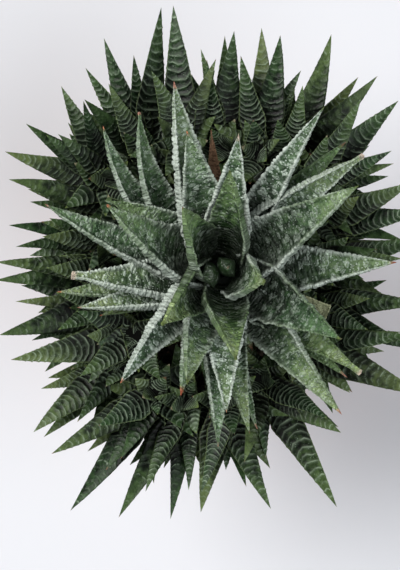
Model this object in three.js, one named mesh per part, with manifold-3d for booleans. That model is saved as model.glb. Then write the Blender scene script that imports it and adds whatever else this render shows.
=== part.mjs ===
// A potted haworthia: a large mother rosette stands above a dense ring of offset rosettes,
// in soil in a round terracotta pot. Millimetres, +Z up. The origin is the centre of the
// pot's flat underside, and +Y is the side that is at the top when it is seen from above.

import * as THREE from 'three';
import { mergeVertices } from 'three/addons/utils/BufferGeometryUtils.js';
import Module from 'manifold-3d';

const wasm = await Module();
wasm.setup();

// Driving dimensions

const POT = {
  height: 76,
  footRadius: 30,
  rimRadius: 45,
  rimDepth: 15,
  rimStep: 1.8,
  wall: 3,
  floor: 4,
  edge: 1,
  drainHoles: 4,
  drainHoleRadius: 3,
  drainCircleRadius: 15,
  drainHoleSides: 8,
  drillLength: 12,
  sides: 24,
};
const RIM_BASE = POT.height - POT.rimDepth;
const WALL_SLOPE = (POT.rimRadius - POT.rimStep - POT.footRadius) / RIM_BASE;

const SOIL = {
  top: 67,
  crown: 3,
  grit: 0.5,
  gritWaves: [2.1, 2.3],
  sides: 20,
  rings: 3,
};

// Gaps between pieces. Flats of round pieces are nearer than their corners, so the gaps round
// those are wider.
const FIT_GAP = 0.3;
const LEAF_GAP = 0.3;
const STEM_GAP = 0.4;
const WALL_GAP = 0.45;

// The holes for the stems, from their bottom to clear above the soil
const HOLE = { bottom: 55, clear: 5 };

// The mother's stem, a tapered column that all her leaves grow from
const MOTHER = {
  x: 4.5,
  y: 2.7,
  stemRadius: 7,
  baseHeight: 81,
  shoulderHeight: 98,
  shoulderRadius: 10,
  topHeight: 117,
  topRadius: 5,
  stemSides: 10,
};

// One leaf in each row: compass turn from +X in degrees, reach of the tip from the stem's
// axis, height of the tip, height of the root, width, and roll in degrees, which lifts the
// left margin where it is positive and the right margin where it is negative
const MOTHER_LEAVES = [
  [200, 41.6, 103, 93, 13, 0],
  [187, 53, 104, 94, 14, 10],
  [307, 45.2, 104, 94, 10, 0],
  [320, 53, 104, 95, 13, 0],
  [94, 45.5, 105, 95, 9, 0],
  [46, 57.8, 106, 96, 15, 0],
  [283, 51.7, 106, 97, 11, -20],
  [129, 59.7, 108, 97, 15, 12],
  [159, 60.2, 108, 98, 17, 14],
  [338, 35.6, 106, 99, 14, 0],
  [194, 47.4, 107, 99, 15, 16],
  [324, 54.9, 110, 100, 17, 0],
  [117, 56.8, 110, 100, 17, 12],
  [269, 55.9, 109, 101, 15, -10],
  [3, 55.8, 110, 102, 18, 0],
  [39, 58.1, 112, 102, 17, 0],
  [181, 47.5, 111, 103, 19, 14],
  [280, 52.2, 111, 104, 15, -8],
  [252, 41.3, 112, 104, 15, -22],
  [310, 58.9, 114, 105, 19, 0],
  [58, 61.2, 114, 105, 18, 8],
  [104, 61.5, 115, 106, 19, 8],
  [272, 44.4, 116, 107, 16, 0],
  [228, 47.3, 117, 107, 17, -26],
  [148, 41.5, 119, 108, 18, 0],
  [253, 36.9, 121, 108, 18, -14],
  [83, 43, 121, 109, 17, 0],
  [330, 42.3, 125, 110, 19, 0],
  [32, 49.5, 127, 110, 19, 0],
  [150, 40.6, 128, 111, 19, 18],
  [222, 24.5, 132, 112, 17, -20],
  [86, 30.5, 136, 112, 17, -22],
  [279, 27.1, 134, 113, 15, -14],
  [122, 22.6, 136, 113, 17, 20],
  [345, 12.2, 132, 114, 13, 0],
];

// The two youngest leaves are blunt buds at the heart
const MOTHER_BUDS = [
  [184, 4.6, 126, 112, 9, 0],
  [60, 2.4, 127, 112, 9, 0],
];

// One offset rosette in each entry: the place of its heart, and its leaves, with the place of
// one leaf's tip in each row and the leaf's width
const OFFSETS = [
  {
    heart: [-32, 33, 88],
    leaves: [
      [-59, 51, 96, 11], [-66, 42, 95, 11], [-52, 47, 100, 9], [-48, 47, 102, 8], [-48, 64, 90, 10],
      [-40, 58, 99, 10], [-43, 38, 98, 13],
    ],
  },
  {
    heart: [-29, 23, 84],
    leaves: [[-65, 33, 93, 11], [-59, 30, 90, 10], [-47, 34, 96, 8], [-28, 38, 96, 8]],
  },
  {
    heart: [-31, 13, 88],
    leaves: [[-65, 18, 93, 10], [-54, 19, 97, 9], [-51, 20, 100, 9], [-53, 14, 102, 11], [-63, 11, 90, 10]],
  },
  {
    heart: [-32, 3, 84],
    leaves: [[-70, 6, 92, 11], [-70, 0, 89, 11], [-35, 13, 97, 6], [-52, 4, 99, 10], [-64, -1, 86, 9]],
  },
  {
    heart: [-32, -8, 88],
    leaves: [[-68, -18, 94, 13], [-63, -7, 91, 7], [-58, -20, 88, 10], [-48, -16, 102, 9], [-49, -4, 98, 9]],
  },
  {
    heart: [-24, -18, 91],
    leaves: [[-42, -10, 98, 11], [-39, -18, 98, 11], [-64, -26, 97, 13], [-41, -31, 101, 10], [-15, -32, 103, 11]],
  },
  {
    heart: [-28, -28, 85],
    leaves: [[-57, -50, 92, 13], [-54, -52, 88, 10], [-42, -46, 99, 10], [-55, -36, 92, 9]],
  },
  {
    heart: [-17, -37, 89],
    leaves: [[-51, -57, 93, 11], [-45, -76, 90, 12], [-33, -62, 96, 11], [-28, -58, 98, 9], [-35, -47, 101, 12]],
  },
  {
    heart: [-7, -40, 85],
    leaves: [[-29, -78, 92, 11], [-20, -69, 96, 10], [-12, -79, 89, 9], [-17, -38, 98, 8], [-6, -69, 92, 8]],
  },
  {
    heart: [6, -39, 89],
    leaves: [[-2, -76, 94, 12], [-2, -69, 99, 9], [9, -50, 99, 9], [13, -68, 91, 9], [21, -75, 93, 11]],
  },
  {
    heart: [18, -33, 85],
    leaves: [[43, -75, 89, 13], [44, -50, 93, 13], [39, -45, 97, 12], [12, -59, 97, 9]],
  },
  {
    heart: [30, -21, 89],
    leaves: [[71, -38, 94, 13], [69, -18, 96, 10], [64, -17, 91, 9], [44, -19, 98, 9], [48, -37, 90, 10]],
  },
  {
    heart: [35, -8, 84],
    leaves: [[72, -8, 91, 13], [53, -6, 97, 9], [70, -23, 90, 10], [52, -16, 100, 9]],
  },
  {
    heart: [35, 6, 89],
    leaves: [[64, 7, 94, 10], [55, 10, 100, 9], [73, 14, 92, 12], [46, 14, 98, 9]],
  },
  {
    heart: [36, 19, 85],
    leaves: [[49, 27, 101, 11], [72, 23, 91, 12], [67, 32, 95, 11], [65, 13, 94, 9]],
  },
  {
    heart: [34, 31, 90],
    leaves: [[60, 42, 98, 9], [61, 38, 96, 9], [63, 59, 92, 12], [50, 59, 99, 9], [39, 47, 99, 9]],
  },
  {
    heart: [27, 39, 85],
    leaves: [[56, 67, 93, 12], [50, 67, 90, 11], [41, 81, 91, 12], [31, 63, 99, 9], [23, 52, 98, 10]],
  },
  {
    heart: [17, 42, 89],
    leaves: [[24, 80, 95, 12], [18, 83, 91, 11], [11, 73, 97, 11], [15, 52, 98, 9], [31, 69, 90, 9]],
  },
  {
    heart: [5, 44, 84],
    leaves: [[9, 82, 91, 12], [6, 81, 88, 9], [-2, 76, 92, 7], [0, 72, 95, 7]],
  },
  {
    heart: [-8, 43, 89],
    leaves: [[-11, 90, 93, 13], [-18, 68, 97, 10], [-16, 53, 98, 8], [3, 72, 92, 9]],
  },
  {
    heart: [-20, 40, 85],
    leaves: [
      [-15, 90, 90, 13], [-24, 74, 92, 10], [-34, 80, 89, 11], [-32, 64, 97, 9], [-40, 59, 98, 13],
      [-40, 70, 90, 10], [-27, 48, 98, 8],
    ],
  },
];

// Each offset also has a low outer leaf, which hangs out past the rim of the pot, and a short
// upright one behind its heart: turn from the way outward, reach, rise and width
const RING_LEAVES = [
  [-8, 24, -2, 9],
  [178, 11, 9, 9],
];

// An offset's stem: the shares of the heart's distance at which its foot and knee stand, the
// heights of its bend, knee and crown, and how far up it the roots of high leaves climb
const OFFSET_STEM = {
  radius: 2.8,
  footShare: 0.73,
  kneeShare: 0.78,
  bendHeight: 72,
  kneeHeight: 82,
  crown: 7,
  climb: 0.25,
  sides: 6,
  steps: 3,
};

// The form of a leaf: where it is widest, how it narrows, its depth, margins and ridges, how
// high it arches, and how far from the stem's axis it starts
const FEWEST_STATIONS = 4;
const DEPTH_TAPER = 0.8;
const MARGIN_TAPER = 0.6;
const MARGIN_TUCK = 0.93;
const MOTHER_LEAF = {
  stations: 7,
  stationLength: 1,
  rootWidth: 0.85,
  widest: 0.27,
  taper: 0.82,
  depth: 0.32,
  channel: 0.1,
  margin: 1.5,
  ridge: 0.045,
  arch: 0.07,
  start: 3.5,
};
const BUD_LEAF = { ...MOTHER_LEAF, taper: 0.35, depth: 0.5, ridge: 0.02, arch: 0.02, start: 0 };
const OFFSET_LEAF = {
  stations: 6,
  stationLength: 6,
  rootWidth: 0.6,
  widest: 0.33,
  taper: 0.78,
  depth: 0.34,
  margin: 0,
  ridge: 0.07,
  arch: 0.08,
  start: 0.8,
};

// Ways to bend a leaf clear of its neighbours, tried in this order: change of the tip's rise,
// swing in degrees, share of the reach that is kept, and share of the width that is kept
const BENDS = [[0, 0, 1, 1]];
for (const [reach, width] of [[1, 0.99], [0.97, 0.8], [0.93, 0.66], [0.84, 0.6], [0.74, 0.55]]) {
  for (const swing of [0, 3, -3, 6, -6]) {
    for (const rise of [1.5, -1.5, 3, -3, 5, -5, -8]) {
      BENDS.push([rise, swing, reach, width]);
    }
  }
}

// Solids from meshes and back

const WELD = 1e-4;

function solidOf(geometry) {
  const bare = geometry.clone();
  bare.deleteAttribute('normal');
  bare.deleteAttribute('uv');
  const merged = mergeVertices(bare, WELD);
  return new wasm.Manifold(new wasm.Mesh({
    numProp: 3,
    vertProperties: new Float32Array(merged.attributes.position.array),
    triVerts: new Uint32Array(merged.index.array),
  }));
}

function geometryOf(solid) {
  const mesh = solid.getMesh();
  const geometry = new THREE.BufferGeometry();
  geometry.setAttribute('position', new THREE.BufferAttribute(new Float32Array(mesh.vertProperties), 3));
  geometry.setIndex(new THREE.BufferAttribute(new Uint32Array(mesh.triVerts), 1));
  geometry.computeVertexNormals();
  return geometry;
}

// Keeps the one large body, so loose scraps go and sealed hollows are filled
function wholeBody(solid) {
  const bodies = solid.decompose();
  return bodies.reduce((best, body) => (body.volume() > best.volume() ? body : best));
}

function joined(solids) {
  return wholeBody(solids.reduce((whole, solid) => whole.add(solid)));
}

function boxesMeet(a, b) {
  const one = a.boundingBox();
  const other = b.boundingBox();
  return [0, 1, 2].every((axis) => one.min[axis] <= other.max[axis] && other.min[axis] <= one.max[axis]);
}

function meet(a, b) {
  return boxesMeet(a, b) && !a.intersect(b).isEmpty();
}

// A lathe's profile is in the XZ plane here, so its axis is turned up to +Z
function turned(profile, sides) {
  const points = profile.map(([radius, height]) => new THREE.Vector2(radius, height));
  return new THREE.LatheGeometry(points, sides).rotateX(Math.PI / 2);
}

// Leaves and stems: closed skins over a row of sections

// Every section is a ring of points, and the skin ends in a flat cap and a point
function skin(rings, tip) {
  const positions = [];
  const index = [];
  const count = rings[0].length;
  rings.forEach((ring) => ring.forEach((point) => positions.push(point.x, point.y, point.z)));
  for (let row = 0; row < rings.length - 1; row += 1) {
    for (let i = 0; i < count; i += 1) {
      const a = row * count + i;
      const b = row * count + ((i + 1) % count);
      index.push(a, b, b + count, a, b + count, a + count);
    }
  }
  const last = (rings.length - 1) * count;
  positions.push(tip.x, tip.y, tip.z);
  for (let i = 0; i < count; i += 1) {
    index.push(last + i, last + ((i + 1) % count), rings.length * count);
  }
  for (let i = 1; i < count - 1; i += 1) {
    index.push(0, i + 1, i);
  }
  const geometry = new THREE.BufferGeometry();
  geometry.setAttribute('position', new THREE.Float32BufferAttribute(positions, 3));
  geometry.setIndex(index);
  return geometry;
}

// Half the width of a leaf at a share of its length, as a share of the widest half
function narrowing(share, form) {
  if (share < form.widest) {
    return form.rootWidth + (1 - form.rootWidth) * (share / form.widest);
  }
  return ((1 - share) / (1 - form.widest)) ** form.taper;
}

// A leaf from its root to its tip. Its section has an upper face, hollowed where there are
// margins, and a keel below. It swells and shrinks from station to station, as ridges across
// it, and a spread makes it larger all round.
function leafSolid(axisPoint, tip, width, roll, form, spread) {
  const root = axisPoint.clone().add(new THREE.Vector3().subVectors(tip, axisPoint).setLength(form.start));
  const chord = new THREE.Vector3().subVectors(tip, root);
  const bow = new THREE.Vector3(0, 0, chord.length() * form.arch);
  const middle = root.clone().lerp(tip, 0.5).add(bow);
  const line = new THREE.QuadraticBezierCurve3(root, middle, tip);
  const level = new THREE.Vector3(-chord.y, chord.x, 0).normalize();
  const lean = THREE.MathUtils.degToRad(roll);
  const wanted = Math.ceil(chord.length() / form.stationLength);
  const stations = THREE.MathUtils.clamp(wanted, FEWEST_STATIONS, form.stations);
  const rings = [];
  for (let station = 0; station < stations; station += 1) {
    const share = station / stations;
    const centre = line.getPoint(share);
    const along = line.getTangent(share);
    const side = level.clone().applyAxisAngle(along, lean);
    const up = new THREE.Vector3().crossVectors(along, side);
    const ridge = station % 2 === 1 ? 1 + form.ridge : 1 - form.ridge;
    const scale = narrowing(share, form);
    const half = (width / 2) * scale * ridge + spread;
    const depth = width * form.depth * scale ** DEPTH_TAPER * ridge + spread;
    const at = (across, over) => centre.clone().addScaledVector(side, across).addScaledVector(up, over);
    const keel = at(0, -depth);
    if (form.margin > 0) {
      const margin = form.margin * scale ** MARGIN_TAPER;
      const tuck = half * MARGIN_TUCK;
      const channel = at(0, spread - half * form.channel);
      const under = [at(-tuck, -margin), keel, at(tuck, -margin)];
      rings.push([at(half, spread), channel, at(-half, spread), ...under]);
    } else {
      rings.push([at(half, spread), at(-half, spread), keel]);
    }
  }
  return solidOf(skin(rings, line.getPoint(1).addScaledVector(line.getTangent(1), spread)));
}

// A ring of points round a stem, level with the ground
function stemRing(centre, radius) {
  return Array.from({ length: OFFSET_STEM.sides }, (_, corner) => {
    const angle = (corner / OFFSET_STEM.sides) * Math.PI * 2;
    return centre.clone().add(new THREE.Vector3(Math.cos(angle), Math.sin(angle), 0).multiplyScalar(radius));
  });
}

// The pot

function potSolid() {
  const inside = (height) => POT.footRadius + WALL_SLOPE * height - POT.wall;
  const pot = solidOf(turned([
    [0, 0],
    [POT.footRadius - POT.edge, 0],
    [POT.footRadius, POT.edge],
    [POT.rimRadius - POT.rimStep, RIM_BASE],
    [POT.rimRadius, RIM_BASE + POT.edge],
    [POT.rimRadius, POT.height - POT.edge],
    [POT.rimRadius - POT.edge, POT.height],
    [POT.rimRadius - POT.wall + POT.edge / 2, POT.height],
    [POT.rimRadius - POT.wall, POT.height - POT.edge],
    [inside(RIM_BASE), RIM_BASE],
    [inside(POT.floor), POT.floor],
    [0, POT.floor],
  ], POT.sides));
  const holes = Array.from({ length: POT.drainHoles }, (_, number) => {
    const angle = ((number + 0.5) / POT.drainHoles) * Math.PI * 2;
    const { drainHoleRadius, drillLength, drainHoleSides } = POT;
    const hole = new THREE.CylinderGeometry(drainHoleRadius, drainHoleRadius, drillLength, drainHoleSides);
    hole.rotateX(Math.PI / 2);
    hole.translate(Math.cos(angle) * POT.drainCircleRadius, Math.sin(angle) * POT.drainCircleRadius, 0);
    return solidOf(hole);
  });
  return holes.reduce((whole, hole) => whole.subtract(hole), pot);
}

// The soil, with a gritty crown and a hole for each stem

function soilSolid(stemHoles) {
  const bottom = POT.floor + FIT_GAP;
  const radiusAt = (height) => POT.footRadius + WALL_SLOPE * height - POT.wall - WALL_GAP;
  const topRadius = radiusAt(RIM_BASE);
  const rings = Array.from({ length: SOIL.rings }, (_, ring) => {
    const share = 1 - ring / SOIL.rings;
    return [topRadius * share, SOIL.top + SOIL.crown * (1 - share * share)];
  });
  const geometry = turned([
    [0, bottom],
    [radiusAt(bottom), bottom],
    [topRadius, RIM_BASE],
    ...rings,
    [0, SOIL.top + SOIL.crown],
  ], SOIL.sides);
  const spots = geometry.attributes.position;
  const [waveX, waveY] = SOIL.gritWaves;
  for (let i = 0; i < spots.count; i += 1) {
    const x = spots.getX(i);
    const z = spots.getZ(i);
    if (z > SOIL.top - FIT_GAP) {
      const grit = Math.sin(x * waveX) * Math.sin(spots.getY(i) * waveY + x);
      spots.setZ(i, z + SOIL.grit * grit);
    }
  }
  return stemHoles.reduce((whole, hole) => whole.subtract(hole), solidOf(geometry));
}

// Stems

function motherStem(spread) {
  const stem = turned([
    [0, HOLE.bottom - spread],
    [MOTHER.stemRadius + spread, HOLE.bottom - spread],
    [MOTHER.stemRadius + spread, MOTHER.baseHeight],
    [MOTHER.shoulderRadius + spread, MOTHER.shoulderHeight],
    [MOTHER.topRadius + spread, MOTHER.topHeight],
    [0, MOTHER.topHeight + spread],
  ], MOTHER.stemSides);
  return solidOf(stem.translate(MOTHER.x, MOTHER.y, 0));
}

// An offset's stem stands straight in the soil and then leans out over the rim
function offsetStem([x, y, height]) {
  const { radius, footShare, kneeShare, kneeHeight, bendHeight, crown, steps } = OFFSET_STEM;
  const foot = new THREE.Vector3(x * footShare, y * footShare, HOLE.bottom);
  const bend = foot.clone().setZ(bendHeight);
  const knee = new THREE.Vector3(x * kneeShare, y * kneeShare, kneeHeight);
  const heart = new THREE.Vector3(x, y, height);
  const route = new THREE.QuadraticBezierCurve3(bend, knee, heart);
  const rings = [foot, ...route.getPoints(steps)].map((centre) => stemRing(centre, radius));
  return solidOf(skin(rings, heart.clone().setZ(height + crown)));
}

function offsetHole([x, y]) {
  const { radius, footShare, bendHeight } = OFFSET_STEM;
  const foot = new THREE.Vector3(x * footShare, y * footShare, HOLE.bottom - FIT_GAP);
  const top = foot.clone().setZ(SOIL.top + HOLE.clear);
  const rings = [foot, top].map((centre) => stemRing(centre, radius + STEM_GAP));
  return solidOf(skin(rings, top.clone().setZ(bendHeight + HOLE.clear)));
}

// The mother rosette

function motherLeaf([turn, reach, tipHeight, rootHeight, width, roll], form) {
  const angle = THREE.MathUtils.degToRad(turn);
  const root = new THREE.Vector3(MOTHER.x, MOTHER.y, rootHeight);
  const tip = new THREE.Vector3(Math.cos(angle) * reach, Math.sin(angle) * reach, 0);
  tip.add(new THREE.Vector3(MOTHER.x, MOTHER.y, tipHeight));
  return leafSolid(root, tip, width, roll, form, 0);
}

function motherSolid() {
  return joined([
    motherStem(0),
    ...MOTHER_LEAVES.map((row) => motherLeaf(row, MOTHER_LEAF)),
    ...MOTHER_BUDS.map((row) => motherLeaf(row, BUD_LEAF)),
  ]);
}

// The offset rosettes

function offsetLeaf(heart, [x, y, height, width], [lift, swing, keptReach, keptWidth], spread) {
  const root = new THREE.Vector3(...heart);
  root.z += (height - root.z) * OFFSET_STEM.climb;
  const reach = new THREE.Vector3(x, y, root.z).sub(root).multiplyScalar(keptReach);
  reach.applyAxisAngle(new THREE.Vector3(0, 0, 1), THREE.MathUtils.degToRad(swing));
  const tip = reach.add(root).setZ(height + lift);
  return leafSolid(root, tip, width * keptWidth, 0, OFFSET_LEAF, spread);
}

// The first bend that keeps a leaf clear of everything that isn't its own rosette
function clearLeaf(heart, row, others) {
  const bend = BENDS.find((choice) => {
    const leaf = offsetLeaf(heart, row, choice, LEAF_GAP);
    return !others.some((other) => meet(leaf, other));
  });
  return bend ? offsetLeaf(heart, row, bend, 0) : null;
}

function ringLeaves([x, y, height]) {
  return RING_LEAVES.map(([turn, reach, rise, width]) => {
    const angle = Math.atan2(y, x) + THREE.MathUtils.degToRad(turn);
    return [x + Math.cos(angle) * reach, y + Math.sin(angle) * reach, height + rise, width];
  });
}

const pot = potSolid();
const mother = motherSolid();
const stemHoles = [motherStem(FIT_GAP), ...OFFSETS.map(({ heart }) => offsetHole(heart))];
const soil = soilSolid(stemHoles);
const offsets = OFFSETS.map(({ heart }) => offsetStem(heart));

OFFSETS.forEach(({ heart, leaves }, number) => {
  [...leaves, ...ringLeaves(heart)].forEach((row) => {
    const others = [pot, soil, mother, ...offsets.filter((_, other) => other !== number)];
    const leaf = clearLeaf(heart, row, others);
    if (leaf) {
      offsets[number] = offsets[number].add(leaf);
    }
  });
  offsets[number] = wholeBody(offsets[number]);
});

// The finished pieces

const CLAY = new THREE.MeshStandardMaterial({ color: 0xb5653f, roughness: 0.85, metalness: 0 });
const GRIT = new THREE.MeshStandardMaterial({ color: 0x4a3a2c, roughness: 0.95, metalness: 0 });
const MOTHER_GREEN = new THREE.MeshStandardMaterial({ color: 0x6e8273, roughness: 0.5, metalness: 0 });
const OFFSET_GREEN = new THREE.MeshStandardMaterial({ color: 0x2f4a33, roughness: 0.5, metalness: 0 });

function piece(name, solid, material) {
  const mesh = new THREE.Mesh(geometryOf(solid), material);
  mesh.name = name;
  return mesh;
}

const haworthia = new THREE.Group();
haworthia.add(piece('pot', pot, CLAY));
haworthia.add(piece('soil', soil, GRIT));
haworthia.add(piece('mother_rosette', mother, MOTHER_GREEN));
offsets.forEach((solid, number) => {
  const name = `offset_${String(number + 1).padStart(2, '0')}`;
  haworthia.add(piece(name, solid, OFFSET_GREEN));
});

export default haworthia;
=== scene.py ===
"""A potted haworthia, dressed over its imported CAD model.

A large mother rosette of grey-green leaves with knobbly silver margins stands above a dense
ring of dark offset rosettes, whose leaves carry washboard ridges. The leaves of every rosette
are bent to size by one Geometry Nodes tree, from the same leaf lists and the same leaf form as
the CAD model. Lengths are in millimetres until a mesh is made, and +Z is up.
"""

import math
import random

import bpy
import numpy as np
from mathutils import Matrix, Vector


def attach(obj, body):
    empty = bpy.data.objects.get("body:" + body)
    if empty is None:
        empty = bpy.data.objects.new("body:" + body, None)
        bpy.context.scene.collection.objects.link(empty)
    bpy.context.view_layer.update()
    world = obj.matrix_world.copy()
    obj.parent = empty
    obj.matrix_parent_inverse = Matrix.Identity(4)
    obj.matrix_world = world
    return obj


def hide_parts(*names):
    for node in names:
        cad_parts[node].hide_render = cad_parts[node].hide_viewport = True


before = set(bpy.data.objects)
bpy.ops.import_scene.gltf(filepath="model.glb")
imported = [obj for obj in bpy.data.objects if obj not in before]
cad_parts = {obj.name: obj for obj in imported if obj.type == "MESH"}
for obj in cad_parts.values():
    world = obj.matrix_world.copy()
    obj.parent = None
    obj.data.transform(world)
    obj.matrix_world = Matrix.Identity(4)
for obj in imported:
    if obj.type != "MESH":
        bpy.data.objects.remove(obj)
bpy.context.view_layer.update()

MM = 0.001
UP = Vector((0, 0, 1))
SEED = 4686
rng = random.Random(SEED)

# The camera looks straight down on the plant from where the photograph was taken
EYE = Vector((-2.24, -1.6, 605))
FOCAL_PIXELS = 1562.5
LONG_SIDE_PIXELS = 570
SENSOR = 36

# The pot and the soil, as in the CAD model
POT_HEIGHT = 76
POT_FOOT_RADIUS = 30
POT_RIM_RADIUS = 45
POT_RIM_DEPTH = 15
POT_RIM_STEP = 1.8
POT_WALL = 3
POT_FLOOR = 4
RIM_BASE = POT_HEIGHT - POT_RIM_DEPTH
WALL_SLOPE = (POT_RIM_RADIUS - POT_RIM_STEP - POT_FOOT_RADIUS) / RIM_BASE
DRAIN_HOLES = 4
DRAIN_HOLE_RADIUS = 3
DRAIN_CIRCLE_RADIUS = 15
SOIL_TOP = 67
SOIL_CROWN = 3
SOIL_GAP = 0.45
SOIL_BOTTOM = POT_FLOOR + 0.3

# The pot's rounded edges, and how finely it and the soil are turned
POT_EDGE = 1
POT_LIP_EDGE = 1.2
POT_INNER_EDGE = 0.8
POT_WALL_STEP = 8
POT_SIDES = 96
DRAIN_SIDES = 24
SOIL_SIDES = 80
SOIL_RINGS = 16

# The rough top of the soil: its depth and its lumps, and the stones on it, in number to the
# square metre, least and most radius, and dents for each unit of the largest radius
SOIL_SKIN = 0.6
SOIL_LUMPS = 2
STONE_DENSITY = 90000.0
STONE_RADII = (0.5, 1.6)
STONE_DENT = 1.2
STONE_SEED = 7

# The mother's axis, and its stem: heights and radii
MOTHER = Vector((4.5, 2.7, 0))
MOTHER_RADIUS = 7
MOTHER_STEM = ((60, MOTHER_RADIUS), (81, MOTHER_RADIUS), (98, 10), (113, 4))

# The mother's leaves, outermost first: compass turn, reach and height of the tip, height of the
# root, width, roll, sway, colour of the dry tip, its length, silver on the side, blunt share
MOTHER_LEAVES = (
    (200, 41.6, 103, 93, 12, 10, 0, "red", 1.5, 0.3, 0),
    (187, 53, 104, 94, 13, 30, 0.03, "orange", 2, 0.6, 0),
    (307, 45.2, 104, 94, 10, -10, -0.03, "straw", 14, 0.2, 0),
    (320, 53, 104, 95, 12, 0, 0, "pink", 3, 0.3, 0),
    (94, 45.5, 105, 95, 9, 0, 0, "brown", 30, 0, 0.05),
    (46, 57.8, 106, 96, 13, 20, 0.04, "brown", 3, 0.3, 0),
    (283, 51.7, 106, 97, 10, -40, -0.03, "pink", 2, 0.6, 0),
    (129, 59.7, 108, 97, 14, 40, 0.2, "orange", 1.5, 0.6, 0),
    (159, 60.2, 108, 98, 15, 30, 0.06, "pink", 2, 0.6, 0),
    (338, 36.5, 109, 100, 14, 0, 0, "khaki", 16, 0.5, 0.4),
    (194, 47.4, 107, 99, 14, 38, 0.04, "pink", 1.5, 1, 0),
    (324, 54.9, 110, 100, 15, -8, 0, "white", 1.5, 0.3, 0.12),
    (117, 56.8, 110, 100, 16, 42, 0.22, "pink", 1.2, 0.6, 0.06),
    (269, 55.9, 109, 101, 13, -22, 0, "pink", 1.5, 0.6, 0),
    (3, 55.8, 110, 102, 18, -14, 0, "red", 2.5, 0.8, 0),
    (39, 58.1, 112, 102, 16, 38, 0.05, "white", 2, 0.8, 0.1),
    (181, 47.5, 111, 103, 18, 40, 0.05, "white", 2, 1, 0.14),
    (280, 52.2, 111, 104, 12, -22, -0.02, "brown", 1.5, 0.5, 0),
    (252, 41.3, 112, 104, 13, -44, -0.04, "red", 3, 0.6, 0),
    (310, 58.9, 114, 105, 16.5, 32, -0.02, "pink", 2.5, 0.5, 0),
    (58, 61.2, 114, 105, 12, -16, 0.04, "green", 2, 1, 0),
    (104, 61.5, 115, 106, 18, 36, 0.03, "pink", 3, 0.9, 0),
    (272, 44.4, 116, 107, 15, 0, 0, "orange", 1.2, 1, 0),
    (104, 44.8, 121, 108, 19, 6, 0, "orange", 1.6, 0.7, 0.02),
    (228, 47.3, 117, 107, 16, -46, -0.04, "orange", 2, 1, 0),
    (148, 41.5, 119, 108, 16, 10, -0.12, "green", 1, 0.5, 0),
    (253, 36.9, 121, 108, 17, -34, -0.02, "green", 3, 0.5, 0),
    (83, 43, 121, 109, 15, 0, 0, "white", 2.5, 1, 0),
    (330, 42.3, 125, 110, 19, 16, 0.02, "green", 2, 0.4, 0),
    (32, 49.5, 127, 110, 18, -18, 0.02, "green", 2, 0.5, 0),
    (150, 40.6, 128, 111, 20, 40, 0.06, "orange", 1.5, 0.5, 0.04),
    (222, 24.5, 132, 112, 17, -46, 0, "green", 2, 0.2, 0.06),
    (86, 30.5, 136, 112, 16, -34, -0.02, "green", 2, 0.2, 0),
    (279, 27.1, 134, 113, 15, -26, 0, "green", 2, 0.2, 0.05),
    (122, 22.6, 136, 113, 18, 46, 0, "red", 1, 0.2, 0),
    (345, 12.8, 132, 114, 15, -10, 0, "green", 0.3, 0.45, 0.12),
)
# The mother's leaves are grown as two pieces, which split at this leaf
MOTHER_SPLIT = 17

# The two blunt buds in the heart: compass turn, reach of the foot and of the tip, and width
MOTHER_BUDS = ((194, 2.4, 4, 8.4), (40, 1.2, 2, 7.8))
BUD_FOOT = 110
BUD_TOP = 125
BUD_STEM_SHARE = 0.5

# Short old leaves that clasp a stem: gap between two along the stem, reach, width, least and most
# lift for each unit of reach, and length of the dry tip. Then their least and most size
OFFSET_STEM_LEAVES = (2.2, 5, 5, (0.35, 0.8), 1.2)
MOTHER_STEM_LEAVES = (1.6, 13, 9, (0.35, 0.8), 9)
SKIRT_LEAVES = (0.4, 23, 13, (-0.1, 0.15), 3)
OLD_LEAVES = (0.2, 26, 14, (-0.15, 0.2), 3)
CLASPING_SIZES = (0.8, 1.15)
SKIRT_TOP = 100
OLD_LEAVES_DEPTH = 16

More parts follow.
